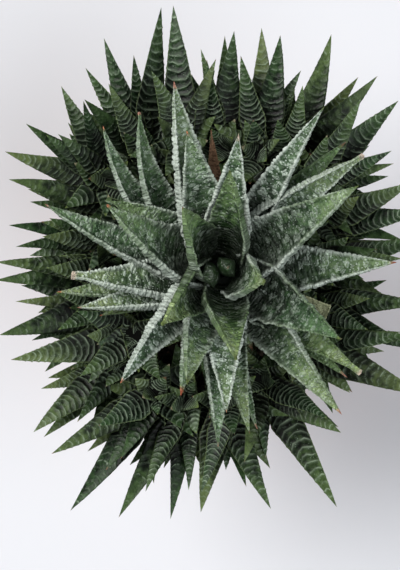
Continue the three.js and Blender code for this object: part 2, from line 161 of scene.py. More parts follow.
# The offset rosettes: place of the heart, and place of each leaf's tip and its width
OFFSETS = (
    ((-32, 33, 88), (-59, 51, 96, 11), (-66, 42, 95, 11), (-52, 47, 100, 9), (-48, 47, 102, 8),
     (-48, 64, 90, 10), (-40, 58, 99, 10), (-43, 38, 98, 13)),
    ((-29, 23, 84), (-65, 33, 93, 11), (-59, 30, 90, 10), (-47, 34, 96, 8), (-28, 38, 96, 8)),
    ((-31, 13, 88), (-65, 18, 93, 10), (-54, 19, 97, 9), (-51, 20, 100, 9), (-53, 14, 102, 11),
     (-63, 11, 90, 10)),
    ((-32, 3, 84), (-70, 6, 92, 11), (-70, 0, 89, 11), (-35, 13, 97, 6), (-52, 4, 99, 10),
     (-64, -1, 86, 9)),
    ((-32, -8, 88), (-68, -18, 94, 13), (-63, -7, 91, 7), (-58, -20, 88, 10), (-48, -16, 102, 9),
     (-49, -4, 98, 9)),
    ((-24, -18, 91), (-42, -10, 98, 11), (-39, -18, 98, 11), (-64, -26, 97, 13), (-41, -31, 101, 10),
     (-15, -32, 103, 11)),
    ((-28, -28, 85), (-57, -50, 92, 13), (-54, -52, 88, 10), (-42, -46, 99, 10), (-55, -36, 92, 9)),
    ((-17, -37, 89), (-51, -57, 93, 11), (-45, -76, 90, 12), (-33, -62, 96, 11), (-28, -58, 98, 9),
     (-35, -47, 101, 12)),
    ((-7, -40, 85), (-29, -78, 92, 11), (-20, -69, 96, 10), (-12, -79, 89, 9), (-17, -38, 98, 8),
     (-6, -69, 92, 8)),
    ((6, -39, 89), (-2, -76, 94, 12), (-2, -69, 99, 9), (9, -50, 99, 9), (13, -68, 91, 9),
     (21, -75, 93, 11)),
    ((18, -33, 85), (43, -75, 89, 13), (44, -50, 93, 13), (39, -45, 97, 12), (12, -59, 97, 9)),
    ((30, -21, 89), (71, -38, 94, 13), (69, -18, 96, 10), (64, -17, 91, 9), (44, -19, 98, 9),
     (48, -37, 90, 10)),
    ((35, -8, 84), (72, -8, 91, 13), (53, -6, 97, 9), (70, -23, 90, 10), (52, -16, 100, 9)),
    ((35, 6, 89), (64, 7, 94, 10), (55, 10, 100, 9), (73, 14, 92, 12), (46, 14, 98, 9)),
    ((36, 19, 85), (49, 27, 101, 11), (72, 23, 91, 12), (67, 32, 95, 11), (65, 13, 94, 9)),
    ((34, 31, 90), (60, 42, 98, 9), (61, 38, 96, 9), (63, 59, 92, 12), (50, 59, 99, 9), (39, 47, 99, 9)),
    ((27, 39, 85), (56, 67, 93, 12), (50, 67, 90, 11), (41, 81, 91, 12), (31, 63, 99, 9),
     (23, 52, 98, 10)),
    ((17, 42, 89), (24, 80, 95, 12), (18, 83, 91, 11), (11, 73, 97, 11), (15, 52, 98, 9),
     (31, 69, 90, 9)),
    ((5, 44, 84), (9, 82, 91, 12), (6, 81, 88, 9), (-2, 76, 92, 7), (0, 72, 95, 7)),
    ((-8, 43, 89), (-11, 90, 93, 13), (-18, 68, 97, 10), (-16, 53, 98, 8), (3, 72, 92, 9)),
    ((-20, 40, 85), (-15, 90, 90, 13), (-24, 74, 92, 10), (-34, 80, 89, 11), (-32, 64, 97, 9),
     (-40, 59, 98, 13), (-40, 70, 90, 10), (-27, 48, 98, 8)),
)

# Each offset's outer and inner ring leaf: turn from the way outward, reach, rise and width
RING_LEAVES = ((-8, 24, -2, 9), (178, 11, 9, 9))

# An offset's stem, as in the CAD model, and how far a leaf's root climbs it for each unit that the
# leaf's tip is above the heart
STEM_RADIUS = 2.8
STEM_FOOT_HEIGHT = 60
STEM_FOOT_SHARE = 0.73
STEM_KNEE_SHARE = 0.78
STEM_BEND_HEIGHT = 72
STEM_KNEE_HEIGHT = 82
STEM_CROWN = 4
STEM_STEPS = 5
STEM_SIDES = 12
CLIMB = 0.25

# An offset's leaf: its width next to the CAD model's, how far it may roll and bow to a side, its
# least and most bloom and length of dry tip, and the colours of its tip
OFFSET_SLIMNESS = 0.9
OFFSET_ROLL = 38
OFFSET_SWAY = 0.05
OFFSET_BLOOMS = (0.25, 1)
OFFSET_DRY_TIPS = (0.4, 1.4)
OFFSET_TINTS = ("green", "green", "green", "brown", "straw")

# Young leaves in a spiral round each offset's heart, which the CAD model is too coarse to hold:
# reach, rise and width of the first and the last, and how far one leaf differs from the rule
GOLDEN_TURN = 137.5
YOUNG_LEAVES = 10
YOUNG_SIZES = ((21, 4), (1, 11), (10, 6.5))
YOUNG_LENGTHS = (0.8, 1.15)
YOUNG_WIDTHS = (0.85, 1.1)
# How far their roots climb and start below the heart, how many have ridges, and what their tips
# stay within: a distance from the pot's axis, and the underside of the mother's leaves
YOUNG_CLIMB = 5
YOUNG_SINK = 1
YOUNG_RIDGED = 5
YOUNG_SPREAD = 54
CANOPY_HEIGHT = 84
CANOPY_SLOPE = 0.32

# Low leaves of an offset that reach over the pot's rim: turn from the way outward, and reach
LOW_LEAVES = ((-60, 22), (-28, 28), (4, 22), (30, 29), (58, 22))
LOW_SWING = 8
LOW_LENGTHS = (0.9, 1.1)
LOW_WIDTHS = (8, 10)
LOW_HEIGHT = 84
LOW_RISES = (-1, 2)
LOW_SINK = 2
LOW_SPREAD = 70

# The stage, in metres. The sky's strength near the ground and overhead, and how far a direction
# points up where the sky is first at its dimmest
FLOOR_SIZE = 6
AIM = Vector((0, 0, 0.1))
SKY_LOW = 0.54
SKY_HIGH = 0.08
SKY_DIM_FROM = 0.6

# The form of a leaf, as in the CAD model, with the finer relief that only the render has, and how
# far from the middle of the stem it starts
MOTHER_LEAF = {
    "Root width": 0.85, "Widest": 0.27, "Taper": 1.0, "Depth": 0.36, "Channel": 0.4,
    "Margin": 3.1 * MM, "Arch": 0.07, "Arc": 0.1, "Slant": 2.2 * MM, "Wave": 0.3, "Drift": 0.14,
    "Bead": 0.05 * MM, "Rim relief": 0.36 * MM, "Face relief": 0.1 * MM,
}
MOTHER_START = 3.5
BUD_LEAF = {
    **MOTHER_LEAF, "Root width": 0.9, "Widest": 0.7, "Taper": 0.3, "Depth": 0.44,
    "Channel": -0.6, "Margin": 0.4 * MM, "Arch": 0, "Arc": 0.3, "Wave": 0, "Rim relief": 0.1 * MM,
}
OFFSET_LEAF = {
    "Root width": 0.6, "Widest": 0.33, "Taper": 0.96, "Depth": 0.4, "Channel": 0.14,
    "Margin": 0.0, "Arch": 0.08, "Arc": 0.5, "Slant": 0.0, "Wave": 0.08, "Drift": 0.12,
    "Bead": 0.04 * MM, "Rim relief": 0.22 * MM, "Face relief": 0.32 * MM,
}
OFFSET_START = 0.8

# Ways in which the CAD model bends an offset's leaf clear of its neighbours: change of the
# tip's rise, swing in degrees, share of the reach that is kept, share of the width that is kept.
# The one that it used is the one whose tip is this near to a vertex of the node
BENDS = [(0, 0, 1, 1)] + [
    (rise, swing, reach, width)
    for reach, width in ((1, 0.99), (0.97, 0.8), (0.93, 0.66), (0.84, 0.6), (0.74, 0.55))
    for swing in (0, 3, -3, 6, -6)
    for rise in (1.5, -1.5, 3, -3, 5, -5, -8)
]
TIP_MATCH = 0.02


def mirrored(half):
    """Points of a section from one side to the middle, and on to the other side."""
    return [*half, *((-across, *rest) for across, *rest in reversed(half[:-1]))]


# Sections of a leaf, from one margin over the top to the other and back underneath: place across,
# then the weights of the channel, the margin and the depth, then how much the point is rim and how
# much it is side band
MOTHER_SECTION = (
    *mirrored((
        (1.0, 0, 0, 0, 1, 0), (0.96, -0.06, 0, 0, 1, 0), (0.89, 0.1, 0, 0, 0.7, 0),
        (0.77, 0.45, 0, 0, 0.35, 0), (0.55, 0.75, 0, 0, 0.06, 0), (0.28, 0.93, 0, 0, 0, 0),
        (0, 1, 0, 0, 0, 0),
    )),
    *mirrored((
        (-1.0, 0, 0.35, 0, 0.2, 1), (-0.99, 0, 0.7, 0, 0.15, 1), (-0.96, 0, 1, 0, 0.7, 1),
        (-0.66, 0, 0.7, 0.38, 0, 0.8), (-0.3, 0, 0.32, 0.78, 0, 0.6), (0, 0, 0, 1, 0.2, 0.5),
    )),
)
OFFSET_SECTION = (
    *mirrored((
        (1.0, 0, 0, 0, 1, 0), (0.86, 0.3, 0, 0, 0, 0), (0.5, 0.8, 0, 0, 0, 0), (0, 1, 0, 0, 0, 0),
    )),
    *mirrored((
        (-0.86, 0, 0, 0.2, 0, 0.5), (-0.56, 0, 0, 0.52, 0, 1), (-0.24, 0, 0, 0.83, 0, 1),
        (0, 0, 0, 1, 0.4, 1),
    )),
)
OLD_SECTION = (
    (1.0, 0, 0, 0, 1, 0), (0.5, 0.8, 0, 0, 0, 0), (-0.5, 0.8, 0, 0, 0, 0), (-1.0, 0, 0, 0, 1, 0),
    *mirrored(((-0.5, 0, 0, 0.6, 0, 1), (0, 0, 0, 1, 0.4, 1))),
)

# Along a leaf, each ridge is a few stations: their place in the ridge and their height
KNOB_STEPS = ((0, 0), (0.3, 0.9), (0.7, 1))
RIDGE_STEPS = ((0, 0), (0.32, 0.05), (0.5, 1), (0.7, 0.4))
YOUNG_STEPS = ((0, 0), (0.5, 1))
OLD_STEPS = ((0, 0),)
LAST_STATION = 0.995

# Ripples in a leaf's skin: waves in radians for each millimetre along it, and how they curve
RIPPLE_TURN = 5.4
RIPPLE_CURVE = 0.045

# Colours of the dry tips, and how far they differ in brightness
TIP_COLOURS = {
    "pink": (190, 136, 118), "orange": (204, 134, 100), "red": (160, 84, 62),
    "brown": (112, 86, 66), "straw": (140, 134, 108), "white": (214, 196, 178),
    "khaki": (150, 154, 122), "green": (104, 120, 66),
}
TIP_VARIETY = 0.15

# What sets the looks of one kind of leaf, by its name in the paint tree
LEAF_COLOURS = ("Base", "Body", "Young", "Line", "Rim", "Spot")
LEAF_AMOUNTS = (
    "Spot scale", "Spot share", "Blister", "Ripple", "Line strength", "Rim strength",
    "Band strength", "Variety",
)


def linear(red, green, blue):
    """A colour as a shader wants it, from its values on screen."""
    return tuple(
        value / 12.92 if value <= 0.04045 else ((value + 0.055) / 1.055) ** 2.4
        for value in (red / 255, green / 255, blue / 255)
    )


# Fields, so that a formula in a node tree is written as plain arithmetic

def signed(operation):
    """A method that makes a node of one arithmetic sign."""
    return lambda self, other: arithmetic(operation, self, other)


class Field:
    """A value that flows through a node tree."""

    __add__ = __radd__ = signed("ADD")
    __sub__ = signed("SUBTRACT")
    __mul__ = __rmul__ = signed("MULTIPLY")
    __truediv__ = signed("DIVIDE")
    __pow__ = signed("POWER")

    def __init__(self, tree, socket):
        self.tree = tree
        self.socket = socket

    def __rsub__(self, other):
        return arithmetic("SUBTRACT", other, self)

    @property
    def is_vector(self):
        return self.socket.type in ("VECTOR", "RGBA")


def add_node(tree, kind, inputs=None, **settings):
    """Adds a node. Its inputs are named or numbered, and are fields or plain values."""
    node = tree.nodes.new(kind)
    for setting, value in settings.items():
        setattr(node, setting, value)
    for socket, value in (inputs or {}).items():
        if isinstance(value, Field):
            tree.links.new(value.socket, node.inputs[socket])
        else:
            node.inputs[socket].default_value = value
    return node


def field_of(tree, kind, inputs=None, output=0, **settings):
    node = add_node(tree, kind, inputs, **settings)
    return Field(tree, node.outputs[output])


def arithmetic(operation, first, second):
    """One sum on two values. A vector times or over a number is scaled by it."""
    tree = first.tree if isinstance(first, Field) else second.tree
    first_vector = isinstance(first, Field) and first.is_vector
    second_vector = isinstance(second, Field) and second.is_vector
    if operation == "MULTIPLY" and first_vector != second_vector:
        vector, number = (first, second) if first_vector else (second, first)
        inputs = {"Vector": vector, "Scale": number}
        return field_of(tree, "ShaderNodeVectorMath", inputs, operation="SCALE")
    kind = "ShaderNodeVectorMath" if first_vector or second_vector else "ShaderNodeMath"
    return field_of(tree, kind, {0: first, 1: second}, operation=operation)


def lesser(first, second):
    return arithmetic("MINIMUM", first, second)


def greater(first, second):
    return arithmetic("MAXIMUM", first, second)


def vector_sum(operation, *vectors, output="Vector"):
    """A Vector Math node that has no sign of its own, such as a cross product."""
    inputs = dict(enumerate(vectors))
    return field_of(vectors[0].tree, "ShaderNodeVectorMath", inputs, output, operation=operation)


def parts_of(vector):
    node = add_node(vector.tree, "ShaderNodeSeparateXYZ", {"Vector": vector})
    return [Field(vector.tree, socket) for socket in node.outputs]


def vector_of(tree, x, y, z):
    return field_of(tree, "ShaderNodeCombineXYZ", {0: x, 1: y, 2: z})


def ramp(value, low, high, start=0.0, end=1.0):
    """A smooth step from start to end as the value goes from low to high."""
    inputs = {"Value": value, "From Min": low, "From Max": high, "To Min": start, "To Max": end}
    return field_of(value.tree, "ShaderNodeMapRange", inputs, interpolation_type="SMOOTHSTEP")


def noise(vector, scale, detail=2.0, roughness=0.5):
    inputs = {"Vector": vector, "Scale": scale, "Detail": detail, "Roughness": roughness}
    return field_of(vector.tree, "ShaderNodeTexNoise", inputs)


def cells(vector, scale, output="Distance"):
    inputs = {"Vector": vector, "Scale": scale}
    return field_of(vector.tree, "ShaderNodeTexVoronoi", inputs, output)


def mix(first, second, share):
    """The first colour turned into the second by a share, which the node keeps from 0 to 1."""
    tree = next(value.tree for value in (share, first, second) if isinstance(value, Field))
    inputs = {0: share, 6: first, 7: second}
    return field_of(tree, "ShaderNodeMix", inputs, 2, data_type="RGBA")


def new_tree(name, kind, inputs, outputs):
    """A node tree with named sockets, and the fields of its inputs by name."""
    tree = bpy.data.node_groups.new(name, kind)
    for side, sockets in (("INPUT", inputs), ("OUTPUT", outputs)):
        for socket, form in sockets.items():
            tree.interface.new_socket(socket, in_out=side, socket_type=f"NodeSocket{form}")
    entry = tree.nodes.new("NodeGroupInput")
    return tree, {name: Field(tree, entry.outputs[name]) for name in inputs}


def end_tree(tree, **results):
    leave = tree.nodes.new("NodeGroupOutput")
    for name, field in results.items():
        tree.links.new(field.socket, leave.inputs[name])


# Leaf shapes: straight leaves of unit length, which the tree bends to size

def note(mesh, name, values, kind="FLOAT_VECTOR"):
    """Stores a vector, or a number of another kind, with each point of a mesh."""
    layer = mesh.attributes.new(name, kind, "POINT")
    key = "vector" if kind == "FLOAT_VECTOR" else "value"
    layer.data.foreach_set(key, np.array(values).ravel())


def leaf_shape(name, section, ridges, steps):
    """A closed skin over stations along the leaf, with each point's part in the leaf noted."""
    stations = [(ridge + place, height) for ridge in range(ridges) for place, height in steps]
    points = []
    notes = []
    for place, height in stations:
        share = place / ridges * LAST_STATION
        for across, channel, margin, depth, rim, band in section:
            points.append((across, share, -depth))
            line = (share, across, margin * 0.5 + depth)
            notes.append((line, (channel, margin, depth), (height, rim, band)))
    points.append((0, 1, 0))
    notes.append(((1, 0, 0), (0, 0, 0), (0, 0, 0)))
    count = len(section)
    last = (len(stations) - 1) * count
    faces = [
        (row + i, row + (i + 1) % count, row + count + (i + 1) % count, row + count + i)
        for row in range(0, last, count)
        for i in range(count)
    ]
    faces += [(last + i, last + (i + 1) % count, last + count) for i in range(count)]
    faces.append(tuple(reversed(range(count))))
    mesh = bpy.data.meshes.new(name)
    mesh.from_pydata(points, [], faces)
    for kind, vectors in zip(("line", "sink", "relief"), zip(*notes)):
        note(mesh, kind, vectors)
    return bpy.data.objects.new(name, mesh)


def leaf_shapes():
    """The shapes that a rosette picks from, in the order of their names."""
    collection = bpy.data.collections.new("Leaf shapes")
    for name, section, ridges, steps in (
        ("leaf_0_old", OLD_SECTION, 5, OLD_STEPS),
        ("leaf_1_young", OFFSET_SECTION, 8, YOUNG_STEPS),
        ("leaf_2_short", OFFSET_SECTION, 9, RIDGE_STEPS),
        ("leaf_3_middling", OFFSET_SECTION, 13, RIDGE_STEPS),
        ("leaf_4_long", OFFSET_SECTION, 18, RIDGE_STEPS),
        ("leaf_5_mother", MOTHER_SECTION, 34, KNOB_STEPS),
    ):
        collection.objects.link(leaf_shape(name, section, ridges, steps))
    return collection


# The numbers of the shapes, and the lengths of leaf at which a short and a long one are used
OLD, YOUNG, SHORT, MIDDLING, LONG, MOTHERS = range(6)
SHORT_LENGTH = 15
LONG_LENGTH = 25


def attribute(tree, name, kind="FLOAT_VECTOR"):
    node = add_node(tree, "GeometryNodeInputNamedAttribute", {"Name": name}, data_type=kind)
    return Field(tree, next(socket for socket in node.outputs if socket.enabled))


def stored(geometry, name, value, kind="FLOAT_VECTOR"):
    inputs = {"Geometry": geometry, "Name": name, "Value": value}
    return field_of(
        geometry.tree, "GeometryNodeStoreNamedAttribute", inputs, data_type=kind, domain="POINT"
    )


def moved(geometry, **where):
    """Geometry whose points are set to a Position or shifted by an Offset."""
    return field_of(geometry.tree, "GeometryNodeSetPosition", {"Geometry": geometry, **where})


def joined(*geometries):
    tree = geometries[0].tree
    node = add_node(tree, "GeometryNodeJoinGeometry")
    for geometry in geometries:
        tree.links.new(geometry.socket, node.inputs[0])
    return Field(tree, node.outputs[0])


def scattered(points, instance, inputs):
    """Real copies of the instance, one on each point."""
    placed = field_of(points.tree, "GeometryNodeInstanceOnPoints", {
        "Points": points, "Instance": instance, **inputs,
    })
    return field_of(points.tree, "GeometryNodeRealizeInstances", {"Geometry": placed})


def narrowing(share, form):
    """Half the width at a share of the length, as a share of the widest half."""
    rise = form["Root width"] + (1 - form["Root width"]) * lesser(share / form["Widest"], 1.0)
    fall = lesser((1 - share) / (1 - form["Widest"]), 1.0)
    return rise * fall ** form["Taper"]


def rosette_tree():
    """The tree that grows a rosette: it bends the leaf shapes to size and adds the stem."""
    sizes = {name: "Float" for name in MOTHER_LEAF}
    tree, form = new_tree("Rosette", "GeometryNodeTree", {
        "Leaf places": "Geometry", "Stem": "Object", "Material": "Material", **sizes,
    }, {"Plant": "Geometry"})

    shapes = field_of(tree, "GeometryNodeCollectionInfo", {
        "Collection": LEAF_SHAPES, "Separate Children": True, "Reset Children": True,
    })
    leaves = scattered(form["Leaf places"], shapes, {
        "Pick Instance": True, "Instance Index": attribute(tree, "shape", "INT"),
    })

    root = attribute(tree, "root")
    tip = attribute(tree, "tip")
    width, roll, blunt = parts_of(attribute(tree, "size"))
    share, across, slant = parts_of(attribute(tree, "line"))
    sway, _, _ = parts_of(attribute(tree, "bend"))
    _, bloom, _ = parts_of(attribute(tree, "look"))
    channel, margin, depth = parts_of(attribute(tree, "sink"))
    crest, rim, band = parts_of(attribute(tree, "relief"))
    number = attribute(tree, "number", "FLOAT")

    # The curve from root to tip, and the directions along, across and over the leaf
    chord = tip - root
    length = vector_sum("LENGTH", chord, output="Value")
    chord_x, chord_y, _ = parts_of(chord)
    level = vector_sum("NORMALIZE", vector_of(tree, 0 - chord_y, chord_x, 0))
    bow = vector_of(tree, 0, 0, form["Arch"]) + level * sway
    middle = (root + tip) * 0.5 + bow * length
    arc = across * across * form["Arc"] * width * 0.5 * narrowing(share, form)
    drift = noise(vector_of(tree, across * 0.8, share * 5, number * 3.7), 1.0) - 0.5
    drift = drift * form["Drift"] * share * (1 - share) * 4
    place = lesser(share + drift + (arc + slant * form["Slant"]) / length, 1.0)
    place = lesser(place, greater(share, LAST_STATION))
    rest = 1 - place
    line = root * (rest * rest) + middle * (rest * place * 2) + tip * (place * place)
    along = vector_sum("NORMALIZE", (middle - root) * rest + (tip - middle) * place)
    level = level - along * vector_sum("DOT_PRODUCT", level, along, output="Value")
    side = field_of(tree, "ShaderNodeVectorRotate", {
        "Vector": vector_sum("NORMALIZE", level), "Center": (0, 0, 0), "Axis": along,
        "Angle": roll,
    }, rotation_type="AXIS_ANGLE")
    up = vector_sum("CROSS_PRODUCT", along, side)

    # The leaf's width and section at this place
    run = place * length
    wander = noise(vector_of(tree, run * 90, across * 0.6, number * 7.3), 1.0) - 0.5
    wave = noise(vector_of(tree, run * 380, across * 2, number * 5.1), 1.0) - 0.5
    scale = greater(narrowing(place, form), blunt)
    scale = scale * (1 + wander * 0.16 + wave * form["Wave"])
    half = width * 0.5 * scale
    sink = channel * form["Channel"] * half
    sink = sink + margin * form["Margin"] * scale ** 0.6
    sink = sink + depth * form["Depth"] * width * scale ** 0.8
    bent = line + side * (across * half) - up * sink

    skin = vector_of(tree, across * half, run, number)
    leaves = moved(leaves, Position=bent)

    # Knobs along the margins and ridges across the faces, uneven and patchy
    fade = ramp(scale, 0.02, 0.25)
    patch = noise(skin * 170, 1.0) + bloom * 0.7 + band * 0.12
    uneven = ramp(noise(skin * 500, 1.0), 0.25, 0.7, 0.2, 1.35)
    uneven = uneven * ramp(noise(skin * 110, 1.0), 0.35, 0.65, 0.5, 1.2)
    uneven = 1 + (uneven - 1) * (0.6 + 0.4 * rim)
    ridge = crest * greater(ramp(patch, 0.5, 0.85), greater(rim, band * 0.8)) * uneven
    knob = form["Bead"] + form["Rim relief"] * ridge * (0.32 + 0.88 * bloom)
    face = (1 - rim) * (1 - band) * form["Face relief"] * ridge * ramp(place, 0.97, 0.7)
    swell = (rim + band * 0.25) * knob + face
    normal = field_of(tree, "GeometryNodeInputNormal")
    leaves = moved(leaves, Offset=normal * (swell * fade))
    leaves = stored(leaves, "skin", skin)
    leaves = stored(leaves, "place", vector_of(tree, place, rim, band))
    leaves = stored(leaves, "ridge", ridge, "FLOAT")

    # The stem
    path = field_of(tree, "GeometryNodeObjectInfo", {"Object": form["Stem"]}, "Geometry")
    ring = field_of(tree, "GeometryNodeCurvePrimitiveCircle", {
        "Resolution": STEM_SIDES, "Radius": 1.0,
    })
    stem = field_of(tree, "GeometryNodeCurveToMesh", {
        "Curve": path, "Profile Curve": ring, "Fill Caps": True,
        "Scale": field_of(tree, "GeometryNodeInputRadius"),
    })
    plant = field_of(tree, "GeometryNodeSetMaterial", {
        "Geometry": joined(stem, leaves), "Material": form["Material"],
    })
    plant = field_of(tree, "GeometryNodeSetShadeSmooth", {"Geometry": plant})
    end_tree(tree, Plant=plant)
    return tree


# The places of the leaves

def leaf(root, tip, width, roll=0, sway=0, shape=None, blunt=0, bloom=0.4, dry=1, tint="brown"):
    """One leaf to be grown: its place and size, and what sets its looks."""
    length = (tip - root).length
    by_length = SHORT if length < SHORT_LENGTH else LONG if length > LONG_LENGTH else MIDDLING
    shade = 1 + rng.uniform(-TIP_VARIETY, TIP_VARIETY)
    return {
        "root": root * MM,
        "tip": tip * MM,
        "size": (width * MM, math.radians(roll), blunt),
        "bend": (sway, 0, 0),
        "look": (rng.uniform(-0.5, 0.5), bloom, dry / length),
        "tint": tuple(value * shade for value in linear(*TIP_COLOURS[tint])),
        "shape": by_length if shape is None else shape,
    }


def start_from(axis_point, tip, distance):
    return axis_point + (tip - axis_point).normalized() * distance


def polar(turn, reach, height=0.0):
    """A place by its compass turn in degrees, its distance from the axis and its height."""
    angle = math.radians(turn)
    return Vector((math.cos(angle) * reach, math.sin(angle) * reach, height))


def kept_within(tip, spread):
    """Moves a tip in towards the pot's axis where it is further out than the spread."""
    distance = math.hypot(tip.x, tip.y)
    if distance > spread:
        tip.xy *= spread / distance


def mother_leaf(row):
    turn, reach, tip_height, root_height, width, roll, sway, tint, dry, bloom, blunt = row
    axis_point = MOTHER + UP * root_height
    tip = MOTHER + polar(turn, reach, tip_height)
    root = start_from(axis_point, tip, MOTHER_START)
    return leaf(root, tip, width, roll, sway, MOTHERS, blunt, bloom, dry, tint)


def node_points(name):
    """The vertices of a CAD node, in millimetres."""
    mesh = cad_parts[name].data
    points = np.empty(len(mesh.vertices) * 3)
    mesh.vertices.foreach_get("co", points)
    return points.reshape(-1, 3) / MM


def bent_tip(heart, row, bend):
    """The root, tip and width of an offset's leaf with one of the bends."""
    x, y, height, width = row
    rise, swing, kept_reach, kept_width = bend
    root = heart + UP * (height - heart.z) * CLIMB
    angle = math.radians(swing)
    reach = Vector((x - heart.x, y - heart.y)) * kept_reach
    reach.rotate(Matrix.Rotation(angle, 2))
    tip = Vector((root.x + reach.x, root.y + reach.y, height + rise))
    return root, tip, width * kept_width


def offset_leaf(heart, row, points):
    """An offset's leaf, bent as the CAD model bends it, or none where it has none."""
    for bend in BENDS:
        root, tip, width = bent_tip(heart, row, bend)
        if np.abs(points - np.array(tip)).sum(axis=1).min() < TIP_MATCH:
            root = start_from(root, tip, OFFSET_START)
            return leaf(root, tip, width * OFFSET_SLIMNESS, **offset_looks())
    return None


def offset_looks():
    """What differs from one leaf of an offset to the next."""
    return {
        "roll": rng.uniform(-OFFSET_ROLL, OFFSET_ROLL),
        "sway": rng.uniform(-OFFSET_SWAY, OFFSET_SWAY),
        "bloom": rng.uniform(*OFFSET_BLOOMS),
        "dry": rng.uniform(*OFFSET_DRY_TIPS),
        "tint": rng.choice(OFFSET_TINTS),
    }


def outward(heart):
    """The compass turn from the pot's axis to a heart."""
    return math.degrees(math.atan2(heart.y, heart.x))


def ring_rows(heart):
    for turn, reach, rise, width in RING_LEAVES:
        place = heart + polar(outward(heart) + turn, reach, rise)
        yield place.x, place.y, place.z, width


def young_leaves(heart):
    """Small leaves in a spiral round the heart, which stay below the mother's leaves."""
    turn = rng.uniform(0, 360)
    for number in range(YOUNG_LEAVES):
        age = number / (YOUNG_LEAVES - 1)
        reach, rise, width = (first + (last - first) * age for first, last in YOUNG_SIZES)
        turn += GOLDEN_TURN
        tip = heart + polar(turn, reach * rng.uniform(*YOUNG_LENGTHS), rise)
        kept_within(tip, YOUNG_SPREAD)
        ceiling = CANOPY_HEIGHT + CANOPY_SLOPE * (tip - MOTHER).xy.length
        tip.z = min(tip.z, ceiling)
        root = heart + UP * (YOUNG_CLIMB * age - YOUNG_SINK)
        shape = SHORT if number < YOUNG_RIDGED else YOUNG
        yield leaf(root, tip, width * rng.uniform(*YOUNG_WIDTHS), shape=shape, **offset_looks())


def low_leaves(heart):
    """Leaves that lie low round the outside, over the rim of the pot."""
    for turn, reach in LOW_LEAVES:
        turn += outward(heart) + rng.uniform(-LOW_SWING, LOW_SWING)
        tip = heart + polar(turn, reach * rng.uniform(*LOW_LENGTHS))
        kept_within(tip, LOW_SPREAD)
        tip.z = LOW_HEIGHT + rng.uniform(*LOW_RISES)
        root = heart - UP * LOW_SINK
        yield leaf(root, tip, rng.uniform(*LOW_WIDTHS), shape=MIDDLING, **offset_looks())


def clasping_leaves(route, spacing, reach, width, lift, dry):
    """Short old leaves that clasp a stem, set in a spiral up its route."""
    turn = rng.uniform(0, 360)
    for start, end in zip(route, route[1:]):
        steps = max(round((end - start).length / spacing), 1)
        for step in range(steps):
            root = start.lerp(end, step / steps)
            turn += GOLDEN_TURN
            size = rng.uniform(*CLASPING_SIZES)
            tip = root + polar(turn, reach * size, reach * rng.uniform(*lift))
            yield leaf(root, tip, width * size, shape=OLD, dry=dry)


def stem_route(heart):
    """The route of an offset's stem: straight up from the soil and then leaning out."""
    foot = Vector((heart.x * STEM_FOOT_SHARE, heart.y * STEM_FOOT_SHARE, STEM_FOOT_HEIGHT))
    bend = Vector((foot.x, foot.y, STEM_BEND_HEIGHT))
    knee = Vector((heart.x * STEM_KNEE_SHARE, heart.y * STEM_KNEE_SHARE, STEM_KNEE_HEIGHT))
    curve = [
        bend.lerp(knee, share).lerp(knee.lerp(heart, share), share)
        for share in (step / STEM_STEPS for step in range(STEM_STEPS + 1))
    ]
    return [foot, *curve, heart + UP * STEM_CROWN]


def stem_path(name, route, radii):
    """A curve through the route, whose radius is the stem's."""
    curve = bpy.data.curves.new(name, "CURVE")
    curve.dimensions = "3D"
    spline = curve.splines.new("POLY")
    spline.points.add(len(route) - 1)
    for point, place, radius in zip(spline.points, route, radii):
        point.co = (*place * MM, 1)
        point.radius = radius * MM
    return bpy.data.objects.new(name, curve)


def add_object(name, data):
    """An object that is in the scene."""
    made = bpy.data.objects.new(name, data)
    bpy.context.scene.collection.objects.link(made)
    return made


def grow(name, leaves, stem, form, material, node):
    """Grows a rosette from its leaf places into one mesh, which stands for a CAD node."""
    mesh = bpy.data.meshes.new(name)
    mesh.from_pydata([one["root"] for one in leaves], [], [])
    for key in ("root", "tip", "size", "bend", "look", "tint"):
        note(mesh, key, [tuple(one[key]) for one in leaves])
    note(mesh, "shape", [one["shape"] for one in leaves], "INT")
    note(mesh, "number", range(len(leaves)), "FLOAT")
    plant = add_object(name, mesh)
    finish_with(plant, ROSETTE, {"Stem": stem, "Material": material, **form})
    bpy.data.objects.remove(stem)
    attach(plant, "root")
    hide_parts(node)


def applied(target):
    """Gives an object the mesh that its modifiers make, and takes them away."""
    graph = bpy.context.evaluated_depsgraph_get()
    made = bpy.data.meshes.new_from_object(target.evaluated_get(graph), depsgraph=graph)
    made.name = target.name
    target.modifiers.clear()
    target.data = made


def finish_with(target, tree, values):
    """Gives an object what the tree makes of its mesh, as a plain mesh with no modifier."""
    modifier = target.modifiers.new(tree.name, "NODES")
    modifier.node_group = tree
    for item in tree.interface.items_tree:
        if item.in_out == "INPUT" and item.name in values:
            modifier[item.identifier] = values[item.name]
    applied(target)


# Materials

def new_material(name):
    material = bpy.data.materials.new(name)
    material.use_nodes = True
    material.node_tree.nodes.clear()
    return material, material.node_tree


def end_material(tree, shader):
    leave = tree.nodes.new("ShaderNodeOutputMaterial")
    tree.links.new(shader.outputs[0], leave.inputs[0])


def surface(tree, color, roughness, height, relief, gloss=0.5):
    """Ends a material: a Principled shader with its colour, roughness and bump from fields."""
    bump = field_of(tree, "ShaderNodeBump", {"Height": height, "Distance": relief, "Strength": 1.0})
    shader = add_node(tree, "ShaderNodeBsdfPrincipled", {
        "Base Color": color, "Roughness": roughness, "Normal": bump, "Specular IOR Level": gloss,
    })
    end_material(tree, shader)


def painted(tree, name, output="Vector"):
    return field_of(tree, "ShaderNodeAttribute", {}, output, attribute_name=name)


